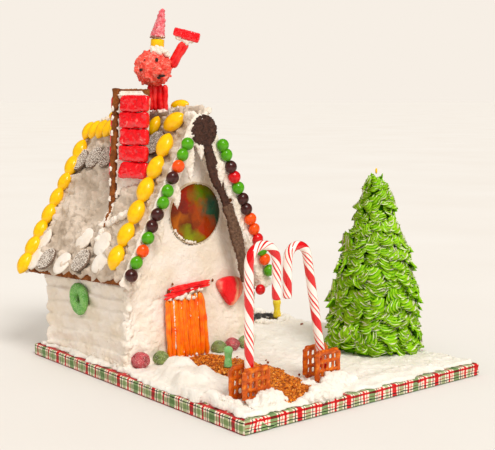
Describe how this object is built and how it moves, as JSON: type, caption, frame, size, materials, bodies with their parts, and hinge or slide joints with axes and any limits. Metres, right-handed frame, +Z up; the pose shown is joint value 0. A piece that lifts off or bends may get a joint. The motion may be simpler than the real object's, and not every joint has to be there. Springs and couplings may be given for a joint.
{
  "type": "gingerbread house",
  "caption": "Iced gingerbread house with candy trim, a chimney and a roof figure, on a paper-wrapped board with candy canes, pretzels, a piped tree, a crumb path and a pond.",
  "frame": {"origin": "middle of the board's underside, where it stands on a table", "axes": "+Z up, -Y towards the door's side of the house, +X to the right when facing the door"},
  "size_m": [0.3344, 0.415, 0.3894],
  "materials": {
    "gift_paper": "glossy printed paper, tartan",
    "snow_icing": "spread white icing",
    "crumbs": "coarse orange-brown sugar crumbs",
    "pond_foil": "kitchen foil, crumpled and pressed flat",
    "gingerbread": "baked, slightly rough",
    "icing": "spread icing with knife strokes",
    "candy_glass": "stained boiled sugar, glossy",
    "orange_licorice": "soft licorice strands",
    "red_licorice": "soft licorice strands",
    "red_jelly": "jelly candy",
    "fruit_jelly": "sugared jelly slice",
    "sugared_green": "sugared jelly",
    "sugared_red": "sugared jelly",
    "chocolate": "broken chocolate, slightly rough",
    "yellow_shell": "smooth sugar shell over an almond",
    "candy_shell": "round sugar shells, several colours",
    "red_frosting": "rough red frosting",
    "pink_frosting": "sugared pink frosting",
    "cane_stripes": "white boiled sugar with red stripes",
    "pretzel": "baked, shiny crust",
    "green_frosting": "piped green frosting"
  },
  "bodies": {
    "root": {"board": "gift_paper", "snow": "snow_icing", "crumb_path": "crumbs", "pond": "pond_foil", "icing_roof_left": "icing", "roof_left": "gingerbread", "icing_roof_right": "icing", "roof_right": "gingerbread", "icing_front": "icing", "icing_back": "icing", "icing_left": "icing", "icing_right": "icing", "wall_front": "gingerbread", "wall_back": "gingerbread", "wall_left": "gingerbread", "wall_right": "gingerbread", "window": "candy_glass", "door": "orange_licorice", "lintel": "red_licorice", "fruit_slice": "fruit_jelly", "sugar_ring": "sugared_green", "chocolate_disc": "chocolate", "chocolate_strip": "chocolate", "chimney_side": "gingerbread", "chimney_back": "gingerbread", "chimney_icing": "icing", "brick_1": "red_jelly", "brick_2": "red_jelly", "brick_3": "red_jelly", "brick_4": "red_jelly", "brick_5": "red_jelly", "bricks_behind": "red_jelly", "almonds_front_left": "yellow_shell", "almonds_front_right": "yellow_shell", "almonds_back_left": "yellow_shell", "almonds_back_right": "yellow_shell", "almonds_ridge_left": "yellow_shell", "almonds_ridge_right": "yellow_shell", "round_candies_left": "candy_shell", "round_candies_right": "candy_shell", "figure_body": "red_frosting", "figure_legs": "red_licorice", "figure_hatband": "yellow_shell", "figure_hat": "pink_frosting", "figure_arm": "red_licorice", "figure_hand": "red_jelly", "cane_left": "cane_stripes", "cane_right": "cane_stripes", "pretzel_left_front": "pretzel", "pretzel_left_back": "pretzel", "pretzel_right_front": "pretzel", "pretzel_right_back": "pretzel", "tree": "green_frosting", "gumdrop_1": "sugared_red", "gumdrop_2": "sugared_green", "gumdrop_3": "sugared_green", "gumdrop_4": "sugared_red", "gumdrop_5": "sugared_green", "gummy_green": "sugared_green", "gummy_yellow": "yellow_shell"}
  },
  "joints": []
}
